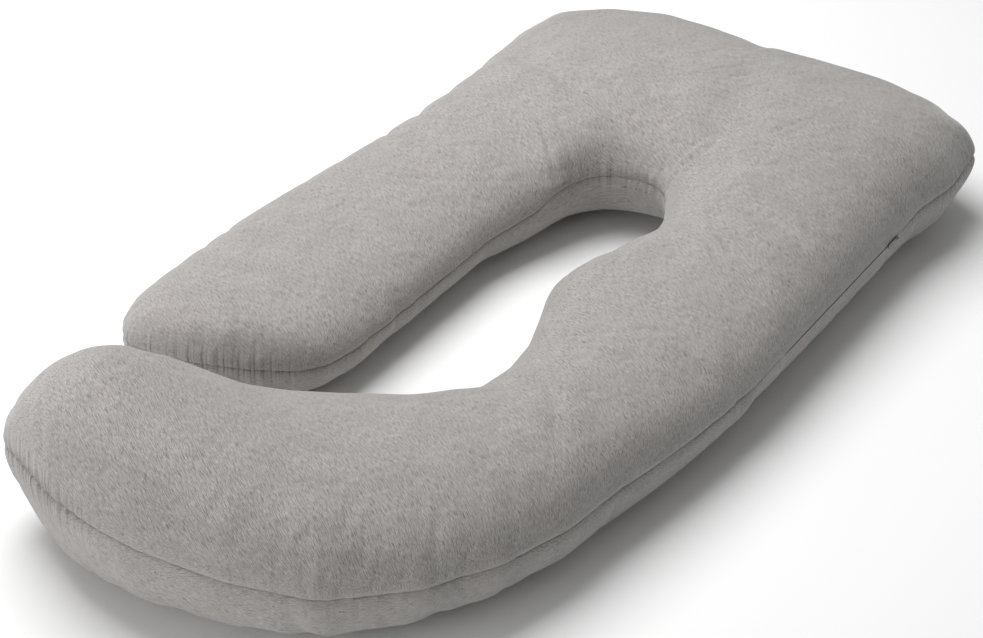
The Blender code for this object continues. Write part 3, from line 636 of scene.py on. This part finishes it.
def jersey_group():
    """Melange yarn in flecks, and the fine columns of a knit."""
    found = bpy.data.node_groups.get("jersey_yarn")
    if found:
        return found
    group, given, out = new_group("jersey_yarn", (
        ("Grain", "NodeSocketVector", None), ("Yarn", "NodeSocketColor", (0.5, 0.5, 0.5, 1)),
        ("Dark", "NodeSocketColor", (0.2, 0.2, 0.2, 1)), ("Pale", "NodeSocketColor", (0.7, 0.7, 0.7, 1)),
        ("Fleck Length", "NodeSocketFloat", 0.017), ("Fleck Width", "NodeSocketFloat", 0.0016),
        ("Pitch", "NodeSocketFloat", 0.0011)),
        (("Color", "NodeSocketColor"), ("Height", "NodeSocketFloat"), ("Roughness", "NodeSocketFloat")))
    size = node(group, "ShaderNodeCombineXYZ", {"Z": 1.0})
    bend = node(group, "ShaderNodeTexNoise", {"Scale": 6.0, "Detail": 1.0})
    centred = node(group, "ShaderNodeVectorMath", operation="SUBTRACT")
    centred.inputs[1].default_value = (0.5, 0.5, 0.5)
    swing = node(group, "ShaderNodeVectorMath", {"Scale": 0.007}, operation="SCALE")
    bent = node(group, "ShaderNodeVectorMath", operation="ADD")
    scaled = node(group, "ShaderNodeVectorMath", operation="DIVIDE")
    join(group, given.outputs["Grain"], bend.inputs["Vector"], bend.outputs["Color"],
         centred.inputs[0], centred.outputs["Vector"], swing.inputs["Vector"],
         given.outputs["Grain"], bent.inputs[0], swing.outputs["Vector"], bent.inputs[1],
         given.outputs["Fleck Length"], size.inputs["X"], given.outputs["Fleck Width"],
         size.inputs["Y"], bent.outputs["Vector"], scaled.inputs[0], size.outputs["Vector"],
         scaled.inputs[1])
    broad = node(group, "ShaderNodeTexNoise", {"Scale": 1.0, "Detail": 2.0, "Roughness": 0.6})
    fine = node(group, "ShaderNodeTexNoise", {"Scale": 2.3, "Detail": 3.0, "Roughness": 0.7})
    join(group, scaled.outputs["Vector"], broad.inputs["Vector"], scaled.outputs["Vector"],
         fine.inputs["Vector"])
    dark_mask = node(group, "ShaderNodeMapRange", {"From Min": 0.44, "From Max": 0.64})
    pale_mask = node(group, "ShaderNodeMapRange", {"From Min": 0.46, "From Max": 0.70})
    join(group, broad.outputs["Fac"], dark_mask.inputs["Value"], fine.outputs["Fac"],
         pale_mask.inputs["Value"])
    darker = node(group, "ShaderNodeMix", data_type="RGBA")
    paler = node(group, "ShaderNodeMix", data_type="RGBA")
    join(group, dark_mask.outputs["Result"], darker.inputs["Factor"], given.outputs["Yarn"],
         darker.inputs["A"], given.outputs["Dark"], darker.inputs["B"],
         pale_mask.outputs["Result"], paler.inputs["Factor"], darker.outputs["Result"],
         paler.inputs["A"], given.outputs["Pale"], paler.inputs["B"])
    patches = node(group, "ShaderNodeTexNoise", {"Scale": 22.0, "Detail": 2.0})
    shade = node(group, "ShaderNodeMapRange", {"From Min": 0.3, "From Max": 0.7, "To Min": 0.94,
                                               "To Max": 1.05})
    tinted = node(group, "ShaderNodeVectorMath", operation="SCALE")
    join(group, given.outputs["Grain"], patches.inputs["Vector"], patches.outputs["Fac"],
         shade.inputs["Value"], paler.outputs["Result"], tinted.inputs["Vector"],
         shade.outputs["Result"], tinted.inputs["Scale"], tinted.outputs["Vector"],
         out.inputs["Color"])
    per_pitch = node(group, "ShaderNodeMath", operation="DIVIDE")
    per_pitch.inputs[0].default_value = 1.0
    columns = node(group, "ShaderNodeVectorMath", operation="SCALE")
    knit = node(group, "ShaderNodeTexWave", {"Scale": 0.3183, "Distortion": 1.6, "Detail": 2.0,
                                             "Detail Scale": 1.2}, bands_direction="Y")
    join(group, given.outputs["Pitch"], per_pitch.inputs[1], bent.outputs["Vector"],
         columns.inputs["Vector"], per_pitch.outputs["Value"], columns.inputs["Scale"],
         columns.outputs["Vector"], knit.inputs["Vector"])
    mixed = node(group, "ShaderNodeMath", operation="ADD")
    softer = node(group, "ShaderNodeMath", operation="MULTIPLY")
    softer.inputs[1].default_value = 0.8
    join(group, fine.outputs["Fac"], softer.inputs[0], knit.outputs["Fac"], mixed.inputs[0],
         softer.outputs["Value"], mixed.inputs[1], mixed.outputs["Value"], out.inputs["Height"])
    rough = node(group, "ShaderNodeMapRange", {"To Min": 0.82, "To Max": 0.97})
    join(group, fine.outputs["Fac"], rough.inputs["Value"], rough.outputs["Result"],
         out.inputs["Roughness"])
    return group


def jersey(name, cloth):
    """Brushed melange jersey."""
    material = bpy.data.materials.new(name)
    material.use_nodes = True
    tree = material.node_tree
    shader = tree.nodes["Principled BSDF"]
    shader.inputs["Sheen Weight"].default_value = 0.35
    shader.inputs["Sheen Roughness"].default_value = 0.45
    shader.inputs["Specular IOR Level"].default_value = 0.25
    grain = node(tree, "ShaderNodeAttribute", attribute_name="grain")
    yarn = node(tree, "ShaderNodeGroup", node_tree=jersey_group())
    yarn.inputs["Yarn"].default_value = (*cloth.mid, 1)
    yarn.inputs["Dark"].default_value = (*cloth.dark, 1)
    yarn.inputs["Pale"].default_value = (*cloth.pale, 1)
    yarn.inputs["Fleck Length"].default_value = cloth.fleck_length
    yarn.inputs["Fleck Width"].default_value = cloth.fleck_width
    yarn.inputs["Pitch"].default_value = cloth.stitch
    gathers = node(tree, "ShaderNodeAttribute", attribute_name="pucker")
    apart = node(tree, "ShaderNodeSeparateXYZ")
    ridges = node(tree, "ShaderNodeTexNoise", {"Scale": 1.0, "Detail": 1.5, "Roughness": 0.4},
                  noise_dimensions="1D")
    raised = node(tree, "ShaderNodeMath", operation="MULTIPLY")
    pleats = node(tree, "ShaderNodeBump", {"Strength": 1.0, "Distance": 0.0065})
    bump = node(tree, "ShaderNodeBump", {"Strength": 0.25, "Distance": 0.0004})
    join(tree, grain.outputs["Vector"], yarn.inputs["Grain"], yarn.outputs["Color"],
         shader.inputs["Base Color"], yarn.outputs["Roughness"], shader.inputs["Roughness"],
         gathers.outputs["Vector"], apart.inputs["Vector"], apart.outputs["X"], ridges.inputs["W"],
         ridges.outputs["Fac"], raised.inputs[0], apart.outputs["Y"], raised.inputs[1],
         raised.outputs["Value"], pleats.inputs["Height"], pleats.outputs["Normal"],
         bump.inputs["Normal"], yarn.outputs["Height"], bump.inputs["Height"],
         bump.outputs["Normal"], shader.inputs["Normal"])
    return material


def weave_group():
    """Over-and-under threads of a plain weave, with painted shade in the gaps between the threads."""
    found = bpy.data.node_groups.get("woven_threads")
    if found:
        return found
    group, given, out = new_group("woven_threads", (
        ("Vector", "NodeSocketVector", None), ("Thread", "NodeSocketColor", (0.5, 0.5, 0.5, 1)),
        ("Gap Shade", "NodeSocketColor", (0.3, 0.3, 0.3, 1)), ("Scale", "NodeSocketFloat", 700.0)),
        (("Color", "NodeSocketColor"), ("Height", "NodeSocketFloat")))
    scaled = node(group, "ShaderNodeVectorMath", operation="SCALE")
    warp = node(group, "ShaderNodeTexWave", {"Scale": 0.3183}, bands_direction="Y")
    weft = node(group, "ShaderNodeTexWave", {"Scale": 0.3183}, bands_direction="Z")
    over = node(group, "ShaderNodeMath", operation="MULTIPLY")
    # the darker gap colour mixed in here is painted shade between the threads
    mixed = node(group, "ShaderNodeMix", data_type="RGBA")
    uneven = node(group, "ShaderNodeTexNoise", {"Scale": 0.35, "Detail": 2.0})
    height = node(group, "ShaderNodeMath", operation="ADD")
    join(group, given.outputs["Vector"], scaled.inputs["Vector"], given.outputs["Scale"],
         scaled.inputs["Scale"], scaled.outputs["Vector"], warp.inputs["Vector"],
         scaled.outputs["Vector"], weft.inputs["Vector"], scaled.outputs["Vector"],
         uneven.inputs["Vector"], warp.outputs["Fac"], over.inputs[0], weft.outputs["Fac"],
         over.inputs[1], over.outputs["Value"], mixed.inputs["Factor"], given.outputs["Gap Shade"],
         mixed.inputs["A"], given.outputs["Thread"], mixed.inputs["B"], mixed.outputs["Result"],
         out.inputs["Color"], over.outputs["Value"], height.inputs[0], uneven.outputs["Fac"],
         height.inputs[1], height.outputs["Value"], out.inputs["Height"])
    return group


def principled(name, roughness, **values):
    """A material with its Principled shader's constant values set."""
    material = bpy.data.materials.new(name)
    material.use_nodes = True
    shader = material.node_tree.nodes["Principled BSDF"]
    shader.inputs["Roughness"].default_value = roughness
    for key, value in values.items():
        shader.inputs[key.replace("_", " ")].default_value = value
    return material, material.node_tree, shader


def plain_weave(name, thread, gap, scale):
    """Plain woven cloth, with painted shade in the gaps between its threads."""
    material, tree, shader = principled(name, 0.85, Sheen_Weight=0.2)
    place = node(tree, "ShaderNodeTexCoord")
    woven = node(tree, "ShaderNodeGroup", node_tree=weave_group())
    woven.inputs["Thread"].default_value = (*thread, 1)
    # the gap colour is painted shade between the threads
    woven.inputs["Gap Shade"].default_value = (*gap, 1)
    woven.inputs["Scale"].default_value = scale * math.tau
    bump = node(tree, "ShaderNodeBump", {"Strength": 0.4, "Distance": 0.0003})
    join(tree, place.outputs["Object"], woven.inputs["Vector"], woven.outputs["Color"],
         shader.inputs["Base Color"], woven.outputs["Height"], bump.inputs["Height"],
         bump.outputs["Normal"], shader.inputs["Normal"])
    return material


def mottled(name, colour, spread, scale, roughness, depth, **values):
    """A material whose colour and surface vary a little from place to place."""
    material, tree, shader = principled(name, roughness, **values)
    place = node(tree, "ShaderNodeTexCoord")
    cloud = node(tree, "ShaderNodeTexNoise", {"Scale": scale, "Detail": 4.0, "Roughness": 0.65})
    ramp = node(tree, "ShaderNodeMix", data_type="RGBA")
    ramp.inputs["A"].default_value = (*(max(0.0, value - spread) for value in colour), 1)
    ramp.inputs["B"].default_value = (*(min(1.0, value + spread) for value in colour), 1)
    uneven = node(tree, "ShaderNodeMapRange", {"To Min": roughness - 0.08, "To Max": roughness + 0.08})
    bump = node(tree, "ShaderNodeBump", {"Strength": 0.4, "Distance": depth})
    join(tree, place.outputs["Object"], cloud.inputs["Vector"], cloud.outputs["Fac"],
         ramp.inputs["Factor"], ramp.outputs["Result"], shader.inputs["Base Color"],
         cloud.outputs["Fac"], uneven.inputs["Value"], uneven.outputs["Result"],
         shader.inputs["Roughness"], cloud.outputs["Fac"], bump.inputs["Height"],
         bump.outputs["Normal"], shader.inputs["Normal"])
    return material


def fibre_material():
    """Loose white fibre."""
    return mottled("loose_fibre", (0.86, 0.86, 0.85), 0.06, 60.0, 0.9, 0.003, Sheen_Weight=0.5)


def thread_material(name, colour):
    """Twisted sewing thread."""
    return mottled(name, colour, 0.06, 1800.0, 0.75, 0.0002, Sheen_Weight=0.3)


def coil_material(name, colour):
    """Dyed nylon monofilament."""
    return mottled(name, colour, 0.02, 900.0, 0.35, 0.00005, Coat_Weight=0.2)


def metal_material(name, colour):
    """Painted die-cast zinc, slightly rubbed."""
    return mottled(name, colour, 0.05, 420.0, 0.38, 0.00008, Metallic=0.55, Coat_Weight=0.3)


def satin_material(name, colour):
    """Satin ribbon."""
    return mottled(name, colour, 0.03, 700.0, 0.45, 0.0001, Sheen_Weight=0.4)


# ---------------------------------------------------------------- operators
class PILLOW_OT_cover(bpy.types.Operator):
    """Make the jersey cover's top and bottom panels"""

    bl_idname = "pillow.cover"
    bl_label = "Cover"

    def execute(self, context):
        shape = context.scene.pillow_shape
        cloth = context.scene.pillow_cloth
        mesh = smooth_body(shape.voxel)
        folds = pressed_out(mesh, shape)
        move_points(mesh, read(mesh.vertices, "co") + folds)
        rise = seam_rise(read(mesh.vertices, "co"))
        halves = cut_at_seam(mesh, rise)
        for half, upper, name, turn in (
                (halves[0], True, "cover_top_panel", cloth.top_turn),
                (halves[1], False, "cover_bottom_panel", cloth.bottom_turn)):
            half = finished_half(half, upper, shape)
            add_grain(half, turn)
            half.materials.clear()
            half.materials.append(jersey(f"jersey_{name}", cloth))
            piece = new_object(name.replace("_panel", "_jersey"), half)
            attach(piece, "pillow")
            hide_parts(name)
        return {"FINISHED"}


class PILLOW_OT_inner_bag(bpy.types.Operator):
    """Make the sewn cotton bag that holds the fibre"""

    bl_idname = "pillow.inner_bag"
    bl_label = "Inner bag"

    def execute(self, context):
        mesh = smooth_body(INNER_MESH)
        points = read(mesh.vertices, "co") - read(mesh.vertex_normals, "vector") * BAG_INSET
        move_points(mesh, points)
        mesh.shade_smooth()
        mesh.materials.clear()
        # the second colour is painted shade in the gaps between the cotton threads
        mesh.materials.append(plain_weave("liner_cotton", (0.80, 0.79, 0.76), (0.70, 0.69, 0.66), 700))
        piece = new_object("inner_bag", mesh)
        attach(piece, "pillow")
        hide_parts("liner_top_panel", "liner_bottom_panel", "liner_seam_thread")
        return {"FINISHED"}


class PILLOW_OT_filling(bpy.types.Operator):
    """Make the four masses of loose fibre"""

    bl_idname = "pillow.filling"
    bl_label = "Filling"

    def execute(self, context):
        finish = fibre_material()
        for name in FILLINGS:
            bm = bmesh.new()
            bm.from_mesh(NODES[name].data)
            bmesh.ops.remove_doubles(bm, verts=bm.verts[:], dist=0.00001)
            mesh = bpy.data.meshes.new(name)
            bm.to_mesh(mesh)
            bm.free()
            mesh = with_modifiers(mesh, ("REMESH", {"mode": "VOXEL", "voxel_size": INNER_MESH}),
                                  ("SMOOTH", {"factor": 0.5, "iterations": 8}))
            points = read(mesh.vertices, "co")
            move_points(mesh, points - read(mesh.vertex_normals, "vector") * FIBRE_INSET)
            mesh.shade_smooth()
            mesh.materials.clear()
            mesh.materials.append(finish)
            piece = new_object(name.replace("filling", "fibre"), mesh)
            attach(piece, "pillow")
            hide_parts(name)
        return {"FINISHED"}


class PILLOW_OT_stitches(bpy.types.Operator):
    """Sew the cover's seam with a row of small stitches"""

    bl_idname = "pillow.stitches"
    bl_label = "Seam stitches"

    def execute(self, context):
        sizes = context.scene.pillow_zip
        seam = seam_line(bpy.data.objects["cover_top_jersey"].data)
        rows = []
        for place, out in seam_places(seam, sizes.stitch_pitch):
            if slit_share(np.array([place]))[0] > 0:
                continue
            low = place + Vector((0, 0, -STITCH_HALF)) + out * 0.0006
            high = place + Vector((0, 0, STITCH_HALF)) + out * 0.0006
            rows.append((low, place + out * 0.0001, high))
        piece = threads("cover_seam_stitches", rows, sizes.stitch_radius)
        piece.data.materials.append(thread_material("seam_thread", context.scene.pillow_cloth.thread))
        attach(piece, "pillow")
        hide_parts("cover_seam_thread")
        return {"FINISHED"}


class PILLOW_OT_zip(bpy.types.Operator):
    """Wind the zip's coils and finish its tapes, slider, tab and stops"""

    bl_idname = "pillow.zip"
    bl_label = "Zip"

    def execute(self, context):
        sizes = context.scene.pillow_zip
        nylon = coil_material("coil_nylon", sizes.nylon)
        for word in ("upper", "lower"):
            start, end, reach = coil_axis(f"zip_coil_{word}")
            radius = reach - sizes.coil_wire
            turns = int((end - start).length / sizes.coil_pitch)
            line = []
            for step in range(turns * 8 + 1):
                angle = step * math.pi / 4
                at = start.lerp(end, step / (turns * 8))
                line.append(at + ZIP_OUT * radius * math.cos(angle)
                            + Vector((0, 0, radius * math.sin(angle))))
            piece = threads(f"zip_coil_{word}_loops", [line], sizes.coil_wire)
            piece.data.materials.append(nylon)
            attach(piece, "pillow")
            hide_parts(f"zip_coil_{word}")
        # the second colour is painted shade in the gaps between the tape's threads
        tape = plain_weave("zip_tape", (0.27, 0.26, 0.25), (0.20, 0.19, 0.185), 1400)
        metal = metal_material("slider_paint", sizes.metal)
        thread = thread_material("zip_thread", context.scene.pillow_cloth.thread)
        satin = satin_material("label_satin", (0.86, 0.86, 0.84))
        for names, finish in (
                (("zip_tape_upper", "zip_tape_lower"), tape),
                (("zip_slider", "zip_pull_tab", "zip_top_stop_upper", "zip_top_stop_lower",
                  "zip_bottom_stop"), metal),
                (("zip_stitching_upper", "zip_stitching_lower"), thread),
                (("care_label",), satin)):
            for name in names:
                for place in NODES[name].material_slots:
                    place.material = finish
        return {"FINISHED"}


class PILLOW_OT_stage(bpy.types.Operator):
    """Lay the floor and set the lights and the camera"""

    bl_idname = "pillow.stage"
    bl_label = "Stage"

    def execute(self, context):
        stage = context.scene.pillow_stage
        scene = context.scene
        bm = bmesh.new()
        bmesh.ops.create_grid(bm, x_segments=2, y_segments=2, size=stage.floor_size)
        mesh = bpy.data.meshes.new("floor")
        bm.to_mesh(mesh)
        bm.free()
        floor = new_object("floor", mesh)
        floor.location.z = -0.0005
        white = bpy.data.materials.new("pale_floor")
        white.use_nodes = True
        surface = white.node_tree.nodes["Principled BSDF"]
        surface.inputs["Base Color"].default_value = (0.88, 0.88, 0.88, 1)
        surface.inputs["Roughness"].default_value = 0.9
        mesh.materials.append(white)
        world = bpy.data.worlds.new("room")
        world.use_nodes = True
        world.node_tree.nodes["Background"].inputs["Color"].default_value = (1, 1, 1, 1)
        world.node_tree.nodes["Background"].inputs["Strength"].default_value = stage.sky
        scene.world = world
        scene.view_settings.view_transform = "Standard"
        aim = Vector(stage.aim)
        for name, place, size, power in (
                ("key_light", (-1.0, 0.1, 2.7), 2.4, stage.key),
                ("fill_light", (-0.3, -3.4, 0.9), 2.0, stage.key * 0.42)):
            lamp = bpy.data.lights.new(name, "AREA")
            lamp.energy = power
            lamp.size = size
            light = bpy.data.objects.new(name, lamp)
            light.location = place
            light.rotation_euler = (aim - Vector(place)).to_track_quat("-Z", "Y").to_euler()
            scene.collection.objects.link(light)
        lens = bpy.data.cameras.new("camera")
        lens.lens = stage.lens
        lens.sensor_width = 36
        camera = bpy.data.objects.new("camera", lens)
        scene.collection.objects.link(camera)
        right = Vector((math.cos(stage.turn), math.sin(stage.turn), 0))
        ahead = Vector((-math.sin(stage.turn) * math.cos(stage.rise),
                        math.cos(stage.turn) * math.cos(stage.rise), -math.sin(stage.rise)))
        above = right.cross(ahead)
        at = aim - ahead * stage.distance
        camera.matrix_world = Matrix(((right.x, above.x, -ahead.x, at.x),
                                      (right.y, above.y, -ahead.y, at.y),
                                      (right.z, above.z, -ahead.z, at.z), (0, 0, 0, 1)))
        scene.camera = camera
        return {"FINISHED"}


class PILLOW_PT_panel(bpy.types.Panel):
    """Buttons that build the pillow"""

    bl_idname = "PILLOW_PT_panel"
    bl_label = "Nursing pillow"
    bl_space_type = "VIEW_3D"
    bl_region_type = "UI"
    bl_category = "Pillow"

    def draw(self, context):
        for operator in OPERATORS:
            self.layout.operator(operator.bl_idname)


OPERATORS = (PILLOW_OT_cover, PILLOW_OT_inner_bag, PILLOW_OT_filling, PILLOW_OT_stitches,
             PILLOW_OT_zip, PILLOW_OT_stage)
GROUPS = (("pillow_shape", PillowShape), ("pillow_cloth", PillowCloth), ("pillow_zip", PillowZip),
          ("pillow_stage", PillowStage))


def register():
    for name, group in GROUPS:
        bpy.utils.register_class(group)
        setattr(bpy.types.Scene, name, PointerProperty(type=group))
    for operator in OPERATORS:
        bpy.utils.register_class(operator)
    bpy.utils.register_class(PILLOW_PT_panel)


def unregister():
    bpy.utils.unregister_class(PILLOW_PT_panel)
    for operator in reversed(OPERATORS):
        bpy.utils.unregister_class(operator)
    for name, group in reversed(GROUPS):
        delattr(bpy.types.Scene, name)
        bpy.utils.unregister_class(group)


def main():
    """Build the whole pillow."""
    register()
    bpy.ops.pillow.cover()
    bpy.ops.pillow.inner_bag()
    bpy.ops.pillow.filling()
    bpy.ops.pillow.stitches()
    bpy.ops.pillow.zip()
    bpy.ops.pillow.stage()


if __name__ == "__main__":
    main()
